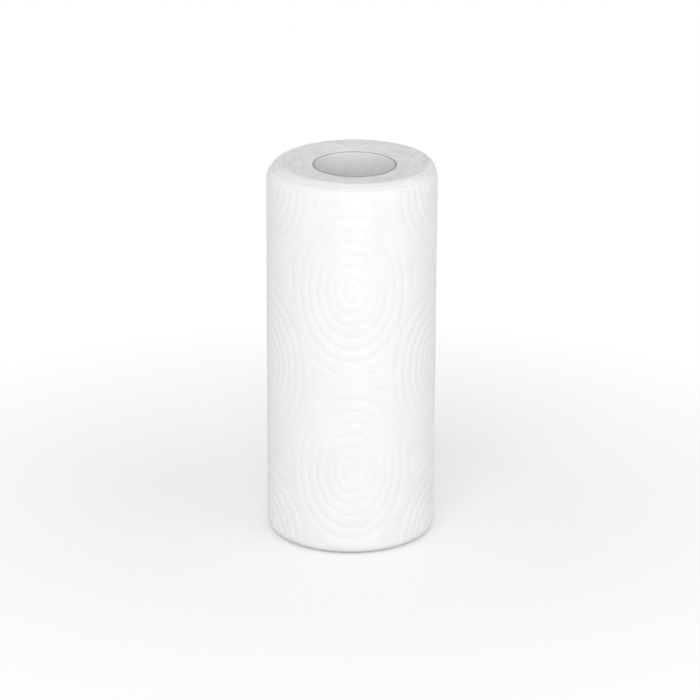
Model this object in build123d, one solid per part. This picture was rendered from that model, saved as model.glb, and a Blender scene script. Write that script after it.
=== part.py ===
"""A roll of kitchen paper standing on end: the wound paper web on its cardboard tube.

Millimetres, +Z up. The origin is the middle of the web's foot, on the table.
"""

import os
from math import cos, pi, radians, sin

from build123d import *

# The web, as it is wound
web_width = 225.0  # the sheet's width, which is the roll's height
roll_diameter = 99.0  # across the outermost turn, at the tail
sheet_thickness = 0.44  # one turn of the embossed sheet, lofty and lightly wound
tail_angle = 118.0  # degrees round from +X to the web's free end, at the back

# The upper end: softened outside by handling, and sunk a little towards the tube
shoulder_width = 7.0
shoulder_height = 9.0
shoulder_bulge = 1.2
end_dish = 1.8

# The lower end, which stands flat
foot_width = 5.0
foot_height = 5.5
foot_bulge = 1.0

# The tube that the web is wound on
tube_diameter = 48.5
tube_wall = 1.0
tube_off_centre = 1.6  # the loose outer turns sit to one side of the tube
wind_clearance = 0.0  # the first turn is glued to the tube

# Modelling values
spiral_points = 24  # through which the outermost turn is drawn
trim_margin = 0.5  # how far the trimming profile runs past the outermost turn

roll_radius = roll_diameter / 2
tube_radius = tube_diameter / 2
tube_length = web_width - end_dish
web_bore_radius = tube_radius + wind_clearance
tube_axis = Location((tube_off_centre, 0, 0))


def outermost_turn() -> Face:
    """The plan of the web: one spiral turn that gains a sheet's thickness, and the step at its tail."""
    points = []
    for i in range(spiral_points + 1):
        turned = i / spiral_points
        radius = roll_radius - sheet_thickness * (1 - turned)
        angle = radians(tail_angle) + 2 * pi * turned
        points.append(Vector(radius * cos(angle), radius * sin(angle)))
    spiral = Spline(*points)
    tail_step = Line(points[-1], points[0])
    return make_face([spiral, tail_step])


def rounded_edge(start: Vector, end: Vector, bulge: float) -> list[Edge]:
    """A soft corner from an end face to the side of the roll, run on until it clears the outermost turn."""
    arc = SagittaArc(start, end, bulge)
    leaving = arc % 1
    clear = Line(arc @ 1, arc @ 1 + leaving * (trim_margin / leaving.X))
    return [arc, clear]


def end_profile() -> Face:
    """Half the section of the roll's ends, in the XZ plane, to be turned about Z."""
    centre = Vector(0, 0)
    crown = Vector(roll_radius - shoulder_width, web_width)
    shoulder = rounded_edge(crown, Vector(roll_radius, web_width - shoulder_height), shoulder_bulge)
    sole = Vector(roll_radius - foot_width, 0)
    foot = rounded_edge(sole, Vector(roll_radius, foot_height), -foot_bulge)
    dish_slope = end_dish / (crown.X - tube_radius)
    dish_centre = Vector(0, web_width - dish_slope * crown.X)
    side = Line(shoulder[-1] @ 1, foot[-1] @ 1)
    outline = [*shoulder, side, *foot, Line(sole, centre), Line(centre, dish_centre), Line(dish_centre, crown)]
    return Plane.XZ * make_face(outline)


def paper_web() -> Part:
    """Every turn of the web as one solid, trimmed to its soft ends and bored for the tube."""
    wound = extrude(outermost_turn(), amount=web_width)
    trimmed = wound & revolve(end_profile(), Axis.Z)
    bore = tube_axis * Cylinder(web_bore_radius, web_width, align=(Align.CENTER, Align.CENTER, Align.MIN))
    return trimmed - bore


def cardboard_tube() -> Part:
    """The tube, cut square at both ends and level with the paper beside it."""
    standing = (Align.CENTER, Align.CENTER, Align.MIN)
    outside = Cylinder(tube_radius, tube_length, align=standing)
    inside = Cylinder(tube_radius - tube_wall, tube_length, align=standing)
    return tube_axis * (outside - inside)


nodes = {
    "paper_web": paper_web(),
    "cardboard_tube": cardboard_tube(),
}

os.makedirs("parts", exist_ok=True)
for name, solid in nodes.items():
    export_step(solid, f"parts/{name}.step")
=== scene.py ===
"""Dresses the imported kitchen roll: an embossed outer sheet over wound turns, on a cardboard tube.

Everything is in metres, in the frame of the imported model: +Z up, the roll standing on z = 0, and -Y
in front.
"""

import logging
import math
from dataclasses import dataclass
from enum import Enum

import bpy
import numpy as np
from mathutils import Euler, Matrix, Vector, kdtree, noise
from mathutils.geometry import delaunay_2d_cdt

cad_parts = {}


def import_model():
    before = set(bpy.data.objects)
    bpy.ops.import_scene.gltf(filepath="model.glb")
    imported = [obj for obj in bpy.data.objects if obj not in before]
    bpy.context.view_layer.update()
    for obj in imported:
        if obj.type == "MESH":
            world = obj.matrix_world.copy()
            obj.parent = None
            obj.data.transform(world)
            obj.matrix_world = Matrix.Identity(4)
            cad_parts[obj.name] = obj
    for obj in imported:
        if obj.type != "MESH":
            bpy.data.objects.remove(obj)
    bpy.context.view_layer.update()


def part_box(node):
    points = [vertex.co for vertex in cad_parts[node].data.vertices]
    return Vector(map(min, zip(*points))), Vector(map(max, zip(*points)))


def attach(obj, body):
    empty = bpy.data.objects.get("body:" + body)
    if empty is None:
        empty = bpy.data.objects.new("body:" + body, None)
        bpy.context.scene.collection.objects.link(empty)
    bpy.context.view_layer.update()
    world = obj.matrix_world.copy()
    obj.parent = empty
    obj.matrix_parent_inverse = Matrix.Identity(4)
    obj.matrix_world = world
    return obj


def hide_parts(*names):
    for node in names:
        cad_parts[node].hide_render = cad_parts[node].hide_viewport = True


LOG = logging.getLogger("kitchen_roll")
MM = 0.001
FULL_TURN = 2 * math.pi
FRONT = math.radians(270)  # the direction of -Y, as an angle round from +X
LINER, PULP = 0, 1  # the tube's material slots


class End(Enum):
    """The two ends of the roll, with the direction that each faces along Z."""

    UPPER = 1
    LOWER = -1


# ---------------------------------------------------------------- meshes


def add_mesh(
    name: str, points: np.ndarray, faces: list, materials: list, slots: list | None = None
) -> bpy.types.Object:
    """Makes a smooth-shaded mesh object and links it to the scene.

    Args:
        name: The piece's name.
        points: Its vertices, one row each, in metres.
        faces: Its faces, as lists of vertex numbers, anticlockwise from outside.
        materials: Its materials.
        slots: Which of the materials each face takes, or None for the first.

    Returns:
        The new object.
    """
    mesh = bpy.data.meshes.new(name)
    mesh.from_pydata(points.tolist(), [], faces)
    for material in materials:
        mesh.materials.append(material)
    if slots is not None:
        mesh.polygons.foreach_set("material_index", slots)
    mesh.polygons.foreach_set("use_smooth", [True] * len(mesh.polygons))
    mesh.update()
    piece = bpy.data.objects.new(name, mesh)
    bpy.context.collection.objects.link(piece)
    return piece


def ring_faces(rings: int, around: int) -> list:
    """The faces between closed rings of vertices, the last ring joined to the first.

    Args:
        rings: How many rings there are.
        around: How many vertices each ring has.

    Returns:
        Quads that face outward for rings that run over the top, down the outside and back inside.
    """
    faces = []
    for i in range(rings):
        low, high = i * around, (i + 1) % rings * around
        for j in range(around):
            k = (j + 1) % around
            faces.append((low + j, high + j, high + k, low + k))
    return faces


def smooth_step(value: np.ndarray, start: float, end: float) -> np.ndarray:
    """0 up to start and 1 from end on, with a smooth rise between.

    Args:
        value: Where to work it out.
        start: Where the rise begins.
        end: Where it ends.

    Returns:
        One number from 0 to 1 for each value.
    """
    t = np.clip((value - start) / (end - start), 0, 1)
    return t * t * (3 - 2 * t)


def noise_at(points: np.ndarray, seed: float) -> np.ndarray:
    """Smooth noise of about -1 to 1 at each point.

    Args:
        points: One row of three scaled coordinates for each value.
        seed: An offset that picks another stretch of the noise.

    Returns:
        One value for each point.
    """
    return np.array([noise.noise(Vector(p) + Vector((seed, seed * 1.7, seed * 2.3))) for p in points])


# ---------------------------------------------------------------- the roll's form


@dataclass(frozen=True)
class RollForm:
    """The outer form of the wound roll, shared by its pieces, in metres."""

    radius: float
    height: float
    tube_x: float
    tube_radius: float
    tube_height: float
    turn: float = 0.44 * MM  # how much one turn adds to the radius
    tail_angle: float = math.radians(118)
    crown_radius: float = 42.6 * MM  # of the upper end's highest ring
    crown_x: float = 2.2 * MM  # where that ring's middle stands, so the shoulder at -X is the wider one
    shoulder_height: float = 9 * MM
    foot_width: float = 5 * MM
    foot_height: float = 5.5 * MM
    softness: float = 1.6  # exponent of the rounded edges' curve: 2 is an ellipse
    dent: float = 0.22 * MM  # of the slow waves that handling leaves in the side
    dents_around: float = 2.2  # how many of them reach across the roll
    dent_height: float = 55 * MM
    dent_seed: float = 3.1

    def wall(self, angle: np.ndarray) -> np.ndarray:
        """Radius of the side at an angle from +X, counted on past the tail: a spiral of one turn.

        Args:
            angle: Angles, a full turn from the tail at the sheet's start.

        Returns:
            One radius for each angle.
        """
        return self.radius - self.turn * (1 - (angle - self.tail_angle) / FULL_TURN)

    def edge_width(self, end: End, angle: np.ndarray) -> np.ndarray:
        """How far the rounded edge reaches in from the side at an angle, at one end.

        Args:
            end: Which end.
            angle: Angles from +X.

        Returns:
            One width for each angle.
        """
        if end is End.LOWER:
            return np.full_like(angle, self.foot_width)
        return self.radius - self.crown_radius - self.crown_x * np.cos(angle)

    def inset(self, angle: np.ndarray, z: np.ndarray) -> np.ndarray:
        """How far the side is drawn in by the rounded edges at a height.

        Args:
            angle: Angles from +X.
            z: Heights, one for each angle.

        Returns:
            Distances inward from the wall.
        """
        total = np.zeros_like(z)
        for end, reach, depth in (
            (End.UPPER, self.shoulder_height, z - (self.height - self.shoulder_height)),
            (End.LOWER, self.foot_height, self.foot_height - z),
        ):
            rise = np.clip(depth / reach, 0, 1)
            share = (1 - rise**self.softness) ** (1 / self.softness)
            total += self.edge_width(end, angle) * (1 - share)
        return total

    def waves(self, angle: np.ndarray, z: np.ndarray) -> np.ndarray:
        """Slow unevenness of the side, from winding and handling.

        Args:
            angle: Angles from +X.
            z: Heights, one for each angle.

        Returns:
            Distances outward, below 0 for a dent.
        """
        across = self.dents_around
        places = np.stack([np.cos(angle) * across, np.sin(angle) * across, z / self.dent_height], axis=1)
        return self.dent * noise_at(places, self.dent_seed)


# ---------------------------------------------------------------- the embossing


@dataclass(frozen=True)
class Embossing:
    """Nested dotted ovals in staggered columns, which flow together between the columns.

    Places are on the unrolled sheet: u along it from the middle of the front, z up, in metres.
    """

    ring_width: float = 5.3 * MM
    ring_height: float = 7.2 * MM
    column_pitch: float = 61 * MM
    row_pitch: float = 111 * MM
    first_row: float = 53 * MM
    blend: float = 1.1  # how tightly the lines follow their own oval where two meet
    rings: int = 9
    directions: int = 361  # in which each ring's line is looked for
    steps_out: int = 120
    dot_pitch: float = 2.7 * MM
    closest: float = 0.7  # of two dots, as a share of their pitch
    dot_radius: float = 0.62 * MM
    dot_depth: float = 0.42 * MM
    quilting: float = 0.24 * MM  # how far the sheet swells between the dotted lines
    wander: float = 1.6 * MM  # unevenness of the ovals' places
    seed: int = 7

    def centres(self, start: float, end: float, height: float) -> np.ndarray:
        """The middles of the ovals on and around a stretch of the sheet.

        Args:
            start: Where the stretch begins along the sheet.
            end: Where it ends.
            height: The sheet's width, which stands upright.

        Returns:
            One row of u and z for each oval.
        """
        random = np.random.default_rng(self.seed)
        first_column = math.floor(start / self.column_pitch) - 1
        last_column = math.ceil(end / self.column_pitch) + 1
        found = []
        for column in range(first_column, last_column + 1):
            stagger = self.row_pitch / 2 if column % 2 else 0.0
            for row in range(-2, math.ceil(height / self.row_pitch) + 2):
                shift = random.uniform(-self.wander, self.wander, 2)
                u = column * self.column_pitch + shift[0]
                z = self.first_row + row * self.row_pitch + stagger + shift[1]
                found.append((u, z))
        return np.array(found)

    def level(self, places: np.ndarray, centres: np.ndarray) -> np.ndarray:
        """The number of the ring that each place lies on, counted smoothly out from the nearest ovals.

        Args:
            places: Rows of u and z.
            centres: Every oval's middle.

        Returns:
            One number for each place.
        """
        total = np.zeros(len(places))
        for cu, cz in centres:
            ring = np.hypot((places[:, 0] - cu) / self.ring_width, (places[:, 1] - cz) / self.ring_height)
            total += np.exp(-self.blend * ring)
        return -np.log(total) / self.blend

    def crossings(self, centre: np.ndarray, centres: np.ndarray, ring: int) -> tuple:
        """Where each direction out from one oval's middle first meets a ring's line.

        Args:
            centre: The oval's middle.
            centres: Every oval's middle.
            ring: The ring's number, counted outward from 1.

        Returns:
            The places, one row for each direction, and whether the line is met there at all.
        """
        directions = np.linspace(0, FULL_TURN, self.directions)
        reach = np.linspace(0, self.rings + 2, self.steps_out)
        u = centre[0] + self.ring_width * np.outer(np.cos(directions), reach)
        z = centre[1] + self.ring_height * np.outer(np.sin(directions), reach)
        levels = self.level(np.stack([u.ravel(), z.ravel()], axis=1), centres).reshape(u.shape)
        first = np.argmax(levels >= ring, axis=1)
        met = first > 0
        i = np.arange(len(directions))
        before, after = levels[i, first - 1], levels[i, first]
        part = np.where(met, (ring - before) / np.where(met, after - before, 1), 0)
        line_u = u[i, first - 1] + part * (u[i, first] - u[i, first - 1])
        line_z = z[i, first - 1] + part * (z[i, first] - z[i, first - 1])
        return np.stack([line_u, line_z], axis=1), met

    def dots(self, start: float, end: float, height: float) -> np.ndarray:
        """The middles of all the dots, evenly spaced along every ring and kept apart where rings meet.

        Args:
            start: Where the stretch begins along the sheet.
            end: Where it ends.
            height: The sheet's width, which stands upright.

        Returns:
            One row of u and z for each dot.
        """
        centres = self.centres(start, end, height)
        margin = 2 * self.dot_radius
        gap = self.closest * self.dot_pitch
        cells: dict = {}
        kept = []
        for centre in centres:
            for ring in range(1, self.rings + 1):
                line, met = self.crossings(centre, centres, ring)
                steps = np.hypot(*np.diff(line, axis=0).T)
                since = self.dot_pitch
                for place, step, ok in zip(line[1:], steps, met[:-1] & met[1:]):
                    since += step
                    along = start + margin < place[0] < end - margin
                    inside = along and margin < place[1] < height - margin
                    if not ok or not inside or since < self.dot_pitch:
                        continue
                    i, j = int(place[0] // gap), int(place[1] // gap)
                    around = [(i + p, j + q) for p in (-1, 0, 1) for q in (-1, 0, 1)]
                    beside = [dot for cell in around for dot in cells.get(cell, [])]
                    if any(math.dist(place, dot) < gap for dot in beside):
                        continue
                    cells.setdefault((i, j), []).append(place)
                    kept.append(place)
                    since = 0.0
        return np.array(kept)


# ---------------------------------------------------------------- materials


class Shader:
    """A new node material, with short ways to add and join its nodes."""

    def __init__(self, name: str) -> None:
        """Starts a material that holds only its output and a Principled surface."""
        self.material = bpy.data.materials.new(name)
        self.material.use_nodes = True
        self.tree = self.material.node_tree
        self.surface = self.tree.nodes["Principled BSDF"]

    def add(self, kind: str, **settings: object) -> bpy.types.Node:
        """Adds a node of a kind, with its own settings."""
        node = self.tree.nodes.new(kind)
        for key, value in settings.items():
            setattr(node, key, value)
        return node

    def join(self, source: bpy.types.NodeSocket, target: bpy.types.NodeSocket) -> None:
        """Links one socket to another."""
        self.tree.links.new(source, target)

    def math(self, operation: str, *values: object) -> bpy.types.NodeSocket:
        """A Math node over sockets and numbers.

        Args:
            operation: The node's operation.
            values: Its inputs in order, each a socket or a number.

        Returns:
            The socket with the result.
        """
        node = self.add("ShaderNodeMath", operation=operation)
        for place, value in zip(node.inputs, values):
            if isinstance(value, bpy.types.NodeSocket):
                self.join(value, place)
            else:
                place.default_value = value
        return node.outputs[0]

    def around(self, axis_x: float, radius: float) -> bpy.types.NodeSocket:
        """Coordinates on the roll unrolled: metres around it, metres out from its axis, and height.

        Args:
            axis_x: Where the axis stands in X.
            radius: The radius at which the distance around is measured.

        Returns:
            A vector socket.
        """
        x, y, z = self.split(axis_x)
        angle = self.math("ARCTAN2", y, x)
        joined = self.add("ShaderNodeCombineXYZ")
        self.join(self.math("MULTIPLY", angle, radius), joined.inputs["X"])
        self.join(self.length(x, y), joined.inputs["Y"])
        self.join(z, joined.inputs["Z"])
        return joined.outputs[0]

    def split(self, axis_x: float) -> tuple:
        """The sockets of X from an upright axis, Y and Z, in metres."""
        parts = self.add("ShaderNodeSeparateXYZ")
        self.join(self.add("ShaderNodeTexCoord").outputs["Object"], parts.inputs[0])
        return self.math("SUBTRACT", parts.outputs["X"], axis_x), parts.outputs["Y"], parts.outputs["Z"]

    def length(self, x: bpy.types.NodeSocket, y: bpy.types.NodeSocket) -> bpy.types.NodeSocket:
        """The length of a line with these two extents."""
        return self.math("SQRT", self.math("ADD", self.math("MULTIPLY", x, x), self.math("MULTIPLY", y, y)))

    def mixed(
        self, first: bpy.types.NodeSocket, second: bpy.types.NodeSocket, share: float
    ) -> bpy.types.NodeSocket:
        """A share of one value with the rest from another."""
        rest = self.math("MULTIPLY", second, 1 - share)
        return self.math("ADD", self.math("MULTIPLY", first, share), rest)

    def matt(self, roughness: float, gloss: float) -> None:
        """Sets how rough the surface is, and how strongly it mirrors."""
        self.surface.inputs["Roughness"].default_value = roughness
        self.surface.inputs["Specular IOR Level"].default_value = gloss

    def noise(
        self, place: bpy.types.NodeSocket, scale: tuple, detail: float, rough: float
    ) -> bpy.types.NodeSocket:
        """Noise over coordinates stretched by a scale on each axis, from 0 to 1."""
        mapping = self.add("ShaderNodeMapping")
        mapping.inputs["Scale"].default_value = scale
        self.join(place, mapping.inputs["Vector"])
        texture = self.add("ShaderNodeTexNoise")
        texture.inputs["Scale"].default_value = 1.0
        texture.inputs["Detail"].default_value = detail
        texture.inputs["Roughness"].default_value = rough
        self.join(mapping.outputs[0], texture.inputs["Vector"])
        return texture.outputs["Fac"]

    def ramp(self, value: bpy.types.NodeSocket, stops: tuple) -> bpy.types.NodeSocket:
        """A colour ramp over a value.

        Args:
            value: What the ramp reads.
            stops: Pairs of a position and a colour of three numbers.

        Returns:
            The colour socket.
        """
        node = self.add("ShaderNodeValToRGB")
        elements = node.color_ramp.elements
        while len(elements) < len(stops):
            elements.new(0.5)
        for element, (position, colour) in zip(elements, stops):
            element.position = position
            element.color = (*colour, 1)
        self.join(value, node.inputs[0])
        return node.outputs["Color"]

    def bump(self, height: bpy.types.NodeSocket, depth: float) -> None:
        """Gives the surface a relief of a depth in metres."""
        node = self.add("ShaderNodeBump")
        node.inputs["Strength"].default_value = 1.0
        node.inputs["Distance"].default_value = depth
        self.join(height, node.inputs["Height"])
        self.join(node.outputs[0], self.surface.inputs["Normal"])


@dataclass(frozen=True)
class TissueFinish:
    """Soft white creped tissue: matt, finely ridged up the roll, with loose fibres."""

    white: tuple = (0.9, 0.9, 0.9)
    shaded: tuple = (0.855, 0.855, 0.857)
    crepe_pitch: float = 0.55 * MM
    crepe_stretch: float = 7.0  # how much longer than wide a ridge of the crepe is
    fibre_length: float = 3.0 * MM
    fibre_width: float = 0.25  # as a share of the length
    fibre_lift: float = 1.4  # of the fibres over the crepe
    cloud_scale: tuple = (60, 60, 45)  # of the slow tones, in each metre
    cloud_share: float = 0.6
    relief: float = 0.05 * MM
    roughness: float = 0.95
    gloss: float = 0.15

    def make(self, form: RollForm) -> bpy.types.Material:
        """Builds the material for the outer sheet."""
        shader = Shader("creped_tissue")
        place = shader.around(0.0, form.radius)
        ridges = (1 / self.crepe_pitch, 1, 1 / (self.crepe_stretch * self.crepe_pitch))
        threads = (1 / self.fibre_length, 1, 1 / (self.fibre_width * self.fibre_length))
        crepe = shader.noise(place, ridges, 3, 0.6)
        fibres = shader.noise(place, threads, 6, 0.75)
        cloud = shader.noise(place, self.cloud_scale, 4, 0.6)
        tone = shader.mixed(cloud, fibres, self.cloud_share)
        colour = shader.ramp(tone, ((0.34, self.shaded), (0.62, self.white)))
        shader.join(colour, shader.surface.inputs["Base Color"])
        lifted = shader.math("MULTIPLY", fibres, self.fibre_lift)
        shader.bump(shader.math("ADD", crepe, lifted), self.relief)
        shader.matt(self.roughness, self.gloss)
        return shader.material


@dataclass(frozen=True)
class CutEdgeFinish:
    """The saw-cut edges of the wound turns: a little greyer than the sheet, streaked, with torn fibres."""

    pale: tuple = (0.93, 0.93, 0.932)
    middle: tuple = (0.86, 0.86, 0.862)
    deep: tuple = (0.74, 0.74, 0.744)
    # Noise scales, in each metre round the roll, out from its axis and up
    turn_scale: tuple = (45, 1 / (1.0 * MM), 1 / (6 * MM))
    patch_scale: tuple = (75, 1 / (9 * MM), 1 / (9 * MM))
    speck_scale: tuple = (1 / (1.6 * MM), 1 / (0.7 * MM), 1 / (0.9 * MM))
    turn_share: float = 0.55
    speck_level: float = 0.66  # the noise over which a fibre shows bright
    speck_tone: float = 0.22
    relief: float = 0.16 * MM

    def make(self, form: RollForm) -> bpy.types.Material:
        """Builds the material for the wound turns."""
        shader = Shader("cut_edges")
        place = shader.around(form.tube_x, form.crown_radius)
        turns = shader.noise(place, self.turn_scale, 4, 0.62)
        patches = shader.noise(place, self.patch_scale, 3, 0.55)
        specks = shader.noise(place, self.speck_scale, 2, 0.5)
        torn = shader.math("GREATER_THAN", specks, self.speck_level)
        bright = shader.math("MULTIPLY", torn, self.speck_tone)
        tone = shader.mixed(turns, patches, self.turn_share)
        colour = shader.ramp(
            shader.math("ADD", tone, bright), ((0.33, self.deep), (0.5, self.middle), (0.68, self.pale))
        )
        shader.join(colour, shader.surface.inputs["Base Color"])
        shader.bump(shader.math("ADD", turns, specks), self.relief)
        shader.matt(1.0, 0.1)
        return shader.material


@dataclass(frozen=True)
class BoardFinish:
    """Thin wound cardboard: one pale liner or the greyer pulp that a cut shows."""

    name: str
    light: tuple
    dark: tuple
    fibre: float
    relief: float
    roughness: float
    gloss: float = 0.2
    fleck_scale: tuple = (300, 300, 420)  # in each metre
    fibre_share: float = 0.7

    def make(self, form: RollForm) -> bpy.types.Material:
        """Builds the material, its fibres lying round the tube."""
        shader = Shader(self.name)
        place = shader.around(form.tube_x, form.tube_radius)
        fibres = shader.noise(place, (1 / self.fibre, 1 / self.fibre, 4 / self.fibre), 5, 0.7)
        flecks = shader.noise(place, self.fleck_scale, 2, 0.5)
        tone = shader.mixed(fibres, flecks, self.fibre_share)
        colour = shader.ramp(tone, ((0.35, self.dark), (0.62, self.light)))
        shader.join(colour, shader.surface.inputs["Base Color"])
        shader.bump(fibres, self.relief)
        shader.matt(self.roughness, self.gloss)
        return shader.material


# ---------------------------------------------------------------- the outer sheet


@dataclass
class OuterSheet:
    """The outermost turn of the web: an embossed shell that ends in a free tail at the back."""

    form: RollForm
    embossing: Embossing
    finish: TissueFinish
    thickness: float = 0.66 * MM  # of the lofty sheet, over its embossing
    tail_thickness: float = 0.4 * MM  # where the glue flattens the sheet
    tail_reach: float = 9 * MM
    tuck: float = 6 * MM  # how far the turn begins under its own tail
    upper_drop: float = 3.0 * MM  # from the roll's top to the sheet's cut edge
    lower_rise: float = 1.3 * MM
    mesh_pitch: float = 1.9 * MM
    edge_pitch: float = 1.2 * MM
    lining_pitch: float = 9 * MM
    sheet_length: float = 262 * MM  # from the tail to the row of perforations
    slit_pitch: float = 3.2 * MM
    slit_inset: float = 4 * MM  # of the first and last slit from the sheet's edge
    seam_depth: float = 0.12 * MM  # of the crease along the perforations
    seam_width: float = 0.9 * MM
    dot_margin: float = 1.5 * MM  # that the dots leave free along the sheet's cut edges
    dot_to_seam: float = 2 * MM
    near_ring: float = 0.7  # radii of the vertices round a dot, as shares of the dot's radius
    far_ring: float = 1.6
    clear_ring: float = 2.3
    pressed: float = 0.45  # share of the embossing that is left at the roll's ends
    pressed_below: float = 5 * MM
    pressed_above: float = 7 * MM
    tail_flattening: float = 0.6  # share of the embossing that the glued tail loses
    tail_lift: float = 0.5 * MM
    tail_waves: float = 23 * MM
    tuck_drop: float = 0.1 * MM
    tuck_fade: tuple = (0.7, 2.2)  # where the embossing begins and is full, in tucks from the start
    lining_inset: float = 0.6  # of the lining's first grid line, as a share of its pitch
    ring_points: int = 6  # in each of the two rings of vertices round a dot
    ring_twist: float = 0.5  # of the outer ring of vertices over the inner one, in radians

    @property
    def low(self) -> float:
        """The height of the sheet's lower cut edge."""
        return self.lower_rise

    @property
    def high(self) -> float:
        """The height of the sheet's upper cut edge."""
        return self.form.height - self.upper_drop

    @property
    def start(self) -> float:
        """Where the turn begins, along the sheet from the middle of the front."""
        return (self.form.tail_angle - FRONT) * self.form.radius - self.tuck

    @property
    def end(self) -> float:
        """Where the tail ends, along the sheet from the middle of the front."""
        return (self.form.tail_angle - FRONT + FULL_TURN) * self.form.radius

    def outline(self) -> np.ndarray:
        """The sheet's edge as evenly spaced places, anticlockwise."""
        corners = [
            (self.start, self.low), (self.end, self.low), (self.end, self.high), (self.start, self.high),
        ]
        places = []
        for a, b in zip(corners, corners[1:] + corners[:1]):
            count = round(math.dist(a, b) / self.edge_pitch)
            for i in range(count):
                places.append((a[0] + (b[0] - a[0]) * i / count, a[1] + (b[1] - a[1]) * i / count))
        return np.array(places)

    def grid(self, pitch: float, clear: float) -> np.ndarray:
        """Places in a triangular grid inside the sheet's edge.

        Args:
            pitch: The distance between neighbours.
            clear: How far they stay from the edge.

        Returns:
            One row of u and z for each place.
        """
        low, high = self.low + clear, self.high - clear
        rows = max(2, round((high - low) / (pitch * math.sqrt(0.75))))
        across = max(2, round((self.end - self.start - 2 * clear) / pitch))
        places = []
        for i, z in enumerate(np.linspace(low, high, rows)):
            u = np.linspace(self.start + clear, self.end - clear, across)
            places.append(np.stack([u[i % 2 :] - (i % 2) * pitch / 2, np.full(len(u) - i % 2, z)], axis=1))
        return np.concatenate(places)

    @staticmethod
    def to_nearest(places: np.ndarray, dots: np.ndarray) -> np.ndarray:
        """How far each place is from the nearest dot.

        Args:
            places: Rows of u and z.
            dots: The middles of the dots.

        Returns:
            One distance for each place.
        """
        tree = kdtree.KDTree(len(dots))
        for i, dot in enumerate(dots):
            tree.insert((dot[0], dot[1], 0), i)
        tree.balance()
        return np.array([tree.find((u, z, 0))[2] for u, z in places])

    def depth(self, places: np.ndarray, dots: np.ndarray) -> np.ndarray:
        """The embossed relief at each place: below 0 in the dots, above it between their lines.

        Args:
            places: Rows of u and z.
            dots: The middles of the dots and slits.

        Returns:
            How far each place is lifted from the plain sheet.
        """
        pattern = self.embossing
        away = self.to_nearest(places, dots)
        level = pattern.level(places, pattern.centres(self.start, self.end, self.form.height))
        swell = pattern.quilting * (0.5 - 0.5 * np.cos(FULL_TURN * level)) * np.clip(level, 0, 1)
        pits = -pattern.dot_depth * np.exp(-((away / pattern.dot_radius) ** 2))
        to_seam = np.abs(places[:, 0] - (self.end - self.sheet_length))
        seam = -self.seam_depth * np.exp(-((to_seam / self.seam_width) ** 2))
        plain_to, full_from = (self.start + share * self.tuck for share in self.tuck_fade)
        tucked = smooth_step(places[:, 0], plain_to, full_from)
        glued = 1 - self.tail_flattening * smooth_step(places[:, 0], self.end - self.tail_reach, self.end)
        above_foot = smooth_step(places[:, 1], self.low, self.low + self.pressed_below)
        below_top = 1 - smooth_step(places[:, 1], self.high - self.pressed_above, self.high)
        low_end = self.pressed + (1 - self.pressed) * above_foot
        high_end = self.pressed + (1 - self.pressed) * below_top
        return (swell + pits + seam) * tucked * glued * low_end * high_end

    def wrap(self, places: np.ndarray, lift: np.ndarray) -> np.ndarray:
        """Winds places on the flat sheet round the roll, each lifted from its wall.

        Args:
            places: Rows of u and z.
            lift: How far each stands out.

        Returns:
            One point in space for each place.
        """
        form = self.form
        angle = FRONT + places[:, 0] / form.radius
        z = places[:, 1]
        radius = form.wall(angle) - form.inset(angle, z) + form.waves(angle, z) + lift
        free = smooth_step(places[:, 0], self.end - self.tail_reach, self.end)
        flutter = np.array([noise.noise(Vector((0.3, 0.7, v / self.tail_waves))) for v in z])
        radius += free * np.maximum(flutter, 0) * self.tail_lift
        radius -= (1 - smooth_step(places[:, 0], self.start, self.start + self.tuck)) * self.tuck_drop
        return np.stack([radius * np.cos(angle), radius * np.sin(angle), z], axis=1)

    def slits(self) -> np.ndarray:
        """The nicks of the perforated line, one sheet back from the tail."""
        z = np.arange(self.low + self.slit_inset, self.high - self.slit_inset, self.slit_pitch)
        return np.stack([np.full(len(z), self.end - self.sheet_length), z], axis=1)

    def build(self) -> bpy.types.Object:
        """Builds the sheet as one closed shell."""
        pattern = self.embossing
        outline = self.outline()
        slits = self.slits()
        dots = pattern.dots(self.start, self.end, self.form.height)
        inside = (dots[:, 1] > self.low + self.dot_margin) & (dots[:, 1] < self.high - self.dot_margin)
        off_seam = np.abs(dots[:, 0] - slits[0, 0]) > self.dot_to_seam
        dots = np.concatenate([dots[inside & off_seam], slits])
        turn = np.arange(self.ring_points) * FULL_TURN / self.ring_points
        twisted = turn + self.ring_twist
        near = self.near_ring * pattern.dot_radius * np.stack([np.cos(turn), np.sin(turn)], axis=1)
        far = self.far_ring * pattern.dot_radius * np.stack([np.cos(twisted), np.sin(twisted)], axis=1)
        fill = self.grid(self.mesh_pitch, self.edge_pitch)
        fill = fill[self.to_nearest(fill, dots) > self.clear_ring * pattern.dot_radius]
        around = [(dots[:, None, :] + ring[None]).reshape(-1, 2) for ring in (near, far)]
        outer = np.concatenate([outline, dots, *around, fill])
        clear = self.lining_inset * self.lining_pitch
        lining = np.concatenate([outline, self.grid(self.lining_pitch, clear)])
        outer_faces = self.triangles(outer)
        lining_faces = self.triangles(lining)
        shell = self.wrap(outer, self.depth(outer, dots))
        flat = self.tail_thickness + (self.thickness - self.tail_thickness) * (
            1 - smooth_step(lining[:, 0], self.end - 2 * self.tail_reach, self.end - self.tail_reach)
        )
        back = self.wrap(lining, -flat)
        n, edge = len(outer), len(outline)
        faces = outer_faces + [(c + n, b + n, a + n) for a, b, c in lining_faces]
        faces += [(i, n + i, n + (i + 1) % edge, (i + 1) % edge) for i in range(edge)]
        piece = add_mesh("outer_sheet", np.concatenate([shell, back]), faces, [self.finish.make(self.form)])
        LOG.info("outer_sheet: %d dots, %d faces", len(dots), len(faces))
        return piece

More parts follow.
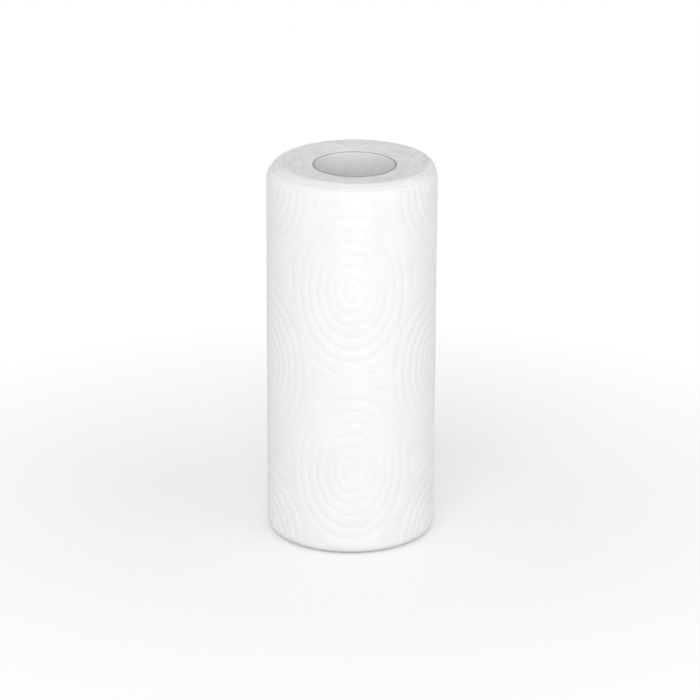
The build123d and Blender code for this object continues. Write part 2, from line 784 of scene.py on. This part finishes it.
    def triangles(self, places: np.ndarray) -> list:
        """Joins places on the flat sheet into well-shaped triangles, anticlockwise.

        Args:
            places: Rows of u and z, in metres.

        Returns:
            Triangles, as the numbers of three places.
        """
        found = delaunay_2d_cdt([Vector(p) for p in places / MM], [], [], 0, 1e-7, True)
        triangles, sources = found[2], found[3]
        return [tuple(sources[corner][0] for corner in triangle) for triangle in triangles]


# ---------------------------------------------------------------- the wound turns


@dataclass
class WoundTurns:
    """All the turns under the outer sheet, as one ring whose ends show the cut edge of every turn."""

    form: RollForm
    sheet: OuterSheet
    finish: CutEdgeFinish
    around: int = 320
    ridge: float = 0.11 * MM  # of one turn's edge over the gap beside it
    unevenness: float = 0.3 * MM  # of one layer over another
    patchiness: float = 0.18 * MM  # of one patch of the end over another
    fray: float = 0.25 * MM
    dish_shape: float = 0.9  # exponent of the end's rise from the tube to its highest ring
    edge_rings: int = 14
    edge_start: float = 0.02  # share of the rounded edge's height at which these rings begin
    edge_stop: float = 0.93  # share of the way down to the sheet's cut edge at which they end
    side_rings: tuple = (6, 5)  # down the upper and the lower rounded edge, under the outer sheet
    tube_gap: float = 0.02 * MM
    fray_rarity: int = 6  # the higher, the fewer fibres stand out
    air: float = 0.35 * MM  # between these turns' side and the outer sheet's lining
    layer_waves: float = 2.6  # slow waves across the roll, in how far each layer stands out
    layer_size: float = 1.5 * MM
    patch_size: float = 11 * MM
    seed: int = 11

    def end_rings(self, end: End, angle: np.ndarray) -> tuple:
        """The rings over one end, from the tube out to the outer sheet's cut edge.

        Args:
            end: Which end.
            angle: The angles of a ring's vertices.

        Returns:
            Radii about the roll's axis and heights, one row for each ring.
        """
        form = self.form
        upper = end is End.UPPER
        tube = self.from_axis(form.tube_radius, angle)
        crown = form.radius - form.edge_width(end, angle)
        count = 2 * round((form.crown_radius - form.tube_radius) / form.turn)
        share = np.linspace(0, 1, count)[:, None]
        radius = tube + (crown - tube) * share
        rim = form.tube_height if upper else 0.0
        level = form.height if upper else 0.0
        z = rim + (level - rim) * np.sin(share * math.pi / 2) ** self.dish_shape + 0 * radius
        reach = form.shoulder_height if upper else form.foot_height
        stop = self.sheet.upper_drop if upper else self.sheet.lower_rise
        last = self.edge_stop * (stop / reach)
        drop = np.linspace(self.edge_start, last, self.edge_rings)[:, None]
        out = (1 - (1 - drop) ** form.softness) ** (1 / form.softness)
        edge_radius = crown + (form.radius - crown) * out
        edge_z = level - (1 if upper else -1) * reach * drop + 0 * edge_radius
        return np.concatenate([radius, edge_radius]), np.concatenate([z, edge_z])

    def from_axis(self, radius: float, angle: np.ndarray) -> np.ndarray:
        """Distance from the roll's axis to a circle about the tube, in each direction.

        Args:
            radius: The circle's radius.
            angle: The directions from the roll's axis.

        Returns:
            One distance for each direction.
        """
        x = self.form.tube_x
        return x * np.cos(angle) + np.sqrt(radius**2 - (x * np.sin(angle)) ** 2)

    def relief(self, radius: np.ndarray, angle: np.ndarray, seed: float) -> np.ndarray:
        """How far each vertex of an end sinks below its plain form, never above it.

        Args:
            radius: The vertices' radii, one row for each ring.
            angle: The angles of a ring's vertices.
            seed: A number that sets one end apart from the other.

        Returns:
            Depths in the shape of radius.
        """
        rings, around = radius.shape
        random = np.random.default_rng(self.seed + int(seed))
        x, y = np.cos(angle) + 0 * radius, np.sin(angle) + 0 * radius
        turn = np.stack([x * self.layer_waves, y * self.layer_waves, radius / self.layer_size], axis=2)
        turn = turn.reshape(-1, 3)
        broad = np.stack([radius * x, radius * y, np.full_like(radius, seed * self.patch_size)], axis=2)
        broad = broad.reshape(-1, 3) / self.patch_size
        layers = noise_at(turn, seed).reshape(rings, around)
        patches = noise_at(broad, seed + 5).reshape(rings, around)
        ridges = self.ridge * (np.arange(rings) % 2)[:, None]
        frayed = self.fray * random.random((rings, around)) ** self.fray_rarity
        by_layer = self.unevenness * (0.5 + 0.5 * layers)
        by_patch = self.patchiness * (0.5 + 0.5 * patches)
        sunk = by_layer + by_patch + ridges
        return np.maximum(sunk - frayed, 0)

    def build(self) -> bpy.types.Object:
        """Builds the ring of turns, closed all round."""
        form = self.form
        angle = np.arange(self.around) * FULL_TURN / self.around
        upper_r, upper_z = self.end_rings(End.UPPER, angle)
        lower_r, lower_z = self.end_rings(End.LOWER, angle)
        upper_z = upper_z - self.relief(upper_r, angle, 2.0)
        lower_z = lower_z + self.relief(lower_r, angle, 4.0)
        heights = np.concatenate([
            np.linspace(self.sheet.high, form.height - form.shoulder_height, self.side_rings[0]),
            np.linspace(form.foot_height, self.sheet.low, self.side_rings[1]),
        ])
        gap = self.sheet.thickness + self.air
        side_z = heights[:, None] + 0 * angle[None]
        flat = np.tile(angle, len(heights))
        side_r = form.radius - form.turn - form.inset(flat, side_z.ravel()).reshape(side_z.shape) - gap
        radius = np.concatenate([upper_r, side_r, lower_r[::-1]])
        z = np.concatenate([upper_z, side_z, lower_z[::-1]])
        radius[0] = radius[-1] = self.from_axis(form.tube_radius + self.tube_gap, angle)
        points = np.stack([radius * np.cos(angle), radius * np.sin(angle), z], axis=2).reshape(-1, 3)
        faces = ring_faces(len(radius), self.around)
        piece = add_mesh("wound_turns", points, faces, [self.finish.make(form)])
        LOG.info("wound_turns: %d rings, %d faces", len(radius), len(faces))
        return piece


# ---------------------------------------------------------------- the tube


@dataclass
class CardboardTube:
    """The cardboard tube, whose inner ply winds up it in a spiral with a fine groove at its joint."""

    form: RollForm
    liner: BoardFinish
    pulp: BoardFinish
    wall: float = 1.0 * MM
    climb: float = 1.45  # turns that a ply makes over the tube's height
    groove: float = 0.16 * MM
    groove_width: float = 0.5 * MM
    groove_side: float = 0.6  # share of the depth beside the groove's middle
    plain_ends: float = 1.2 * MM  # of the bore, which the groove doesn't reach
    columns: int = 144
    rows: int = 90
    outer_rows: int = 60
    bevel: float = 0.12 * MM  # of the cut rim
    roughness: float = 0.07 * MM  # of the cut rim
    fibre_waves: float = 9.0
    fibre_seed: float = 6.0

    def columns_and_groove(self, inner: float) -> tuple:
        """Where the columns of vertices stand, closer at the groove, and how far each is sunk in the bore.

        Args:
            inner: The bore's radius.

        Returns:
            The columns' angles from the groove, and their depths.
        """
        narrow = self.groove_width / inner
        plain = np.linspace(3 * narrow, FULL_TURN - 3 * narrow, self.columns - 5)
        after = [FULL_TURN - narrow, FULL_TURN - 0.5 * narrow]
        angle = np.concatenate([[0, 0.5 * narrow, narrow], plain, after])
        sunk = np.zeros(len(angle))
        sunk[0] = self.groove
        sunk[[1, -1]] = self.groove_side * self.groove
        return angle, sunk

    def rings(self, angle: np.ndarray, sunk: np.ndarray, inner: float) -> list:
        """The rings of vertices, up the outside, over the rim and down the bore.

        Args:
            angle: The columns' angles.
            sunk: How deep the groove is at each column.
            inner: The bore's radius.

        Returns:
            For each ring its radii, its heights, the height that it turns with and its material's number.
        """
        top, outside = self.form.tube_height, self.form.tube_radius
        level = np.ones(len(angle))
        waves = self.fibre_waves
        fibres = np.stack([np.cos(angle) * waves, np.sin(angle) * waves, 0 * angle], axis=1)
        ragged = noise_at(fibres, self.fibre_seed) * self.roughness
        found = []
        for z in np.linspace(0.0, top - 2 * self.bevel, self.outer_rows):
            found.append((outside * level, z * level, z, PULP))
        for radius, z, slot in (
            (outside, top - self.bevel, PULP),
            (outside - self.bevel, top, PULP),
            (outside - self.wall / 2, top - 0.5 * self.bevel, PULP),
            (inner + self.bevel, top, PULP),
            (inner, top - self.bevel, LINER),
        ):
            found.append((radius * level, np.minimum(z + ragged, top), z, slot))
        for z in np.linspace(top - self.plain_ends, self.plain_ends, self.rows):
            found.append((inner + sunk, z * level, z, LINER))
        found.append((inner * level, 0 * level, 0.0, PULP))
        return found

    def build(self) -> bpy.types.Object:
        """Builds the tube as one closed piece, pulp at its cut ends and outside, liner inside."""
        form = self.form
        inner = form.tube_radius - self.wall
        angle, sunk = self.columns_and_groove(inner)
        rings = self.rings(angle, sunk, inner)
        radius, z = np.array([ring[0] for ring in rings]), np.array([ring[1] for ring in rings])
        twist = self.climb * FULL_TURN * np.array([ring[2] for ring in rings]) / form.tube_height
        turned = angle[None] + twist[:, None] + FRONT
        x = form.tube_x + radius * np.cos(turned)
        points = np.stack([x, radius * np.sin(turned), z], axis=2).reshape(-1, 3)
        faces = [face[::-1] for face in ring_faces(len(radius), len(angle))]
        face_slots = [ring[3] for ring in rings for _ in angle]
        materials = [self.liner.make(form), self.pulp.make(form)]
        piece = add_mesh("core_tube", points, faces, materials, face_slots)
        LOG.info("core_tube: %d faces", len(faces))
        return piece


# ---------------------------------------------------------------- the studio


@dataclass
class Studio:
    """A white floor and background, soft lamps and the camera."""

    key_watts: float = 10.0
    fill_watts: float = 2.4
    sky: float = 0.7
    floor_grey: float = 0.8
    floor_glow: float = 0.2
    shadow_reach: float = 0.13  # radius round the roll inside which the floor keeps its shadow in full
    shadow_fade: float = 4.5  # how fast the floor turns white beyond it, for each metre
    floor_radius: float = 9.0
    key_place: tuple = (-0.25, -1.5, 0.75)
    key_size: float = 1.1
    fill_place: tuple = (1.2, -0.7, 0.5)
    fill_size: float = 0.9
    aim: tuple = (0, 0, 0.12)  # what the lamps face, the middle of the roll
    lens: float = 195.4  # in millimetres, as the frame's width is
    frame_width: float = 36.0
    aside: float = -0.58 * MM
    distance: float = 2.0835
    eye_height: float = 0.874
    pitch: float = math.radians(20.15)
    lean: float = math.radians(0.26)

    def floor(self) -> bpy.types.Object:
        """A wide floor that keeps the roll's shadow and fades to white away from it."""
        bpy.ops.mesh.primitive_circle_add(vertices=96, radius=self.floor_radius, fill_type="NGON")
        piece = bpy.context.object
        piece.name = "floor"
        shader = Shader("white_floor")
        shader.surface.inputs["Base Color"].default_value = (self.floor_grey,) * 3 + (1,)
        shader.matt(1.0, 0.0)
        x, y, _ = shader.split(0.0)
        beyond = shader.math("SUBTRACT", shader.length(x, y), self.shadow_reach)
        rise = shader.math("MULTIPLY", beyond, self.shadow_fade)
        fade = shader.math("MINIMUM", shader.math("MAXIMUM", rise, 0.0), 1.0)
        glow = shader.add("ShaderNodeEmission")
        glow.inputs["Strength"].default_value = self.floor_glow
        white = shader.add("ShaderNodeEmission")
        added = shader.add("ShaderNodeAddShader")
        faded = shader.add("ShaderNodeMixShader")
        seen = shader.add("ShaderNodeMixShader")
        path = shader.add("ShaderNodeLightPath")
        shader.join(shader.surface.outputs[0], added.inputs[0])
        shader.join(glow.outputs[0], added.inputs[1])
        shader.join(fade, faded.inputs[0])
        shader.join(added.outputs[0], faded.inputs[1])
        shader.join(white.outputs[0], faded.inputs[2])
        looked = shader.math("MAXIMUM", path.outputs["Is Camera Ray"], path.outputs["Is Glossy Ray"])
        looked = shader.math("MAXIMUM", looked, path.outputs["Is Transmission Ray"])
        shader.join(looked, seen.inputs[0])
        shader.join(shader.surface.outputs[0], seen.inputs[1])
        shader.join(faded.outputs[0], seen.inputs[2])
        shader.join(seen.outputs[0], shader.tree.nodes["Material Output"].inputs["Surface"])
        piece.data.materials.append(shader.material)
        return piece

    def sky_light(self) -> None:
        """Even light from all round, white where it is seen."""
        world = bpy.data.worlds.new("studio")
        bpy.context.scene.world = world
        world.use_nodes = True
        tree = world.node_tree
        plain = tree.nodes["Background"]
        plain.inputs["Color"].default_value = (1, 1, 1, 1)
        plain.inputs["Strength"].default_value = self.sky
        seen = tree.nodes.new("ShaderNodeBackground")
        seen.inputs["Color"].default_value = (1, 1, 1, 1)
        mix = tree.nodes.new("ShaderNodeMixShader")
        path = tree.nodes.new("ShaderNodeLightPath")
        widest = tree.nodes.new("ShaderNodeMath")
        widest.operation = "MAXIMUM"
        tree.links.new(path.outputs["Is Camera Ray"], widest.inputs[0])
        tree.links.new(path.outputs["Is Glossy Ray"], widest.inputs[1])
        tree.links.new(widest.outputs[0], mix.inputs[0])
        tree.links.new(plain.outputs[0], mix.inputs[1])
        tree.links.new(seen.outputs[0], mix.inputs[2])
        tree.links.new(mix.outputs[0], tree.nodes["World Output"].inputs[0])

    def lamp(self, name: str, place: tuple, size: float, watts: float) -> None:
        """A square soft lamp that faces the middle of the roll.

        Args:
            name: The lamp's name.
            place: Where it hangs.
            size: The length of its side.
            watts: Its power.
        """
        data = bpy.data.lights.new(name, "AREA")
        data.shape = "SQUARE"
        data.size = size
        data.energy = watts
        lamp = bpy.data.objects.new(name, data)
        lamp.location = place
        lamp.rotation_euler = (Vector(self.aim) - Vector(place)).to_track_quat("-Z", "Y").to_euler()
        bpy.context.collection.objects.link(lamp)

    def camera(self) -> None:
        """The camera, a little above the roll and looking down on it."""
        data = bpy.data.cameras.new("camera")
        data.sensor_width = self.frame_width
        data.lens = self.lens
        camera = bpy.data.objects.new("camera", data)
        camera.location = (self.aside, -self.distance, self.eye_height)
        facing = Euler((math.pi / 2 - self.pitch, 0, 0)).to_matrix()
        camera.rotation_euler = (facing @ Euler((0, 0, self.lean)).to_matrix()).to_euler()
        bpy.context.collection.objects.link(camera)
        bpy.context.scene.camera = camera

    def build(self) -> bpy.types.Object:
        """Sets up the whole studio.

        Returns:
            The floor.
        """
        bpy.context.scene.view_settings.view_transform = "Standard"
        self.sky_light()
        self.lamp("key", self.key_place, self.key_size, self.key_watts)
        self.lamp("fill", self.fill_place, self.fill_size, self.fill_watts)
        self.camera()
        return self.floor()


# ---------------------------------------------------------------- the whole roll


def read_form() -> RollForm:
    """Reads the roll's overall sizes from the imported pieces."""
    low, high = (Vector(corner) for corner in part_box("paper_web"))
    tube_low, tube_high = (Vector(corner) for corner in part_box("cardboard_tube"))
    return RollForm(
        radius=(high.y - low.y) / 2,
        height=high.z,
        tube_x=(tube_low.x + tube_high.x) / 2,
        tube_radius=(tube_high.y - tube_low.y) / 2,
        tube_height=tube_high.z,
    )


def main() -> None:
    """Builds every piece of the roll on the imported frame, in order."""
    logging.basicConfig(level=logging.INFO, format="%(message)s")
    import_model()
    form = read_form()
    sheet = OuterSheet(form, Embossing(), TissueFinish())
    turns = WoundTurns(form, sheet, CutEdgeFinish())
    liner = BoardFinish(
        name="pale_liner", light=(0.87, 0.868, 0.865), dark=(0.8, 0.797, 0.792),
        fibre=1.1 * MM, relief=0.04 * MM, roughness=0.75,
    )
    pulp = BoardFinish(
        name="cut_pulp", light=(0.46, 0.45, 0.44), dark=(0.3, 0.292, 0.285),
        fibre=0.5 * MM, relief=0.1 * MM, roughness=1.0,
    )
    tube = CardboardTube(form, liner, pulp)
    for maker, node, slot in (
        (sheet, "paper_web", "tissue"),
        (turns, "paper_web", "tissue"),
        (tube, "cardboard_tube", "core_board"),
    ):
        piece = maker.build()
        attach(piece, "root")
        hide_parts(node)
    Studio().build()


if __name__ == "__main__":
    main()
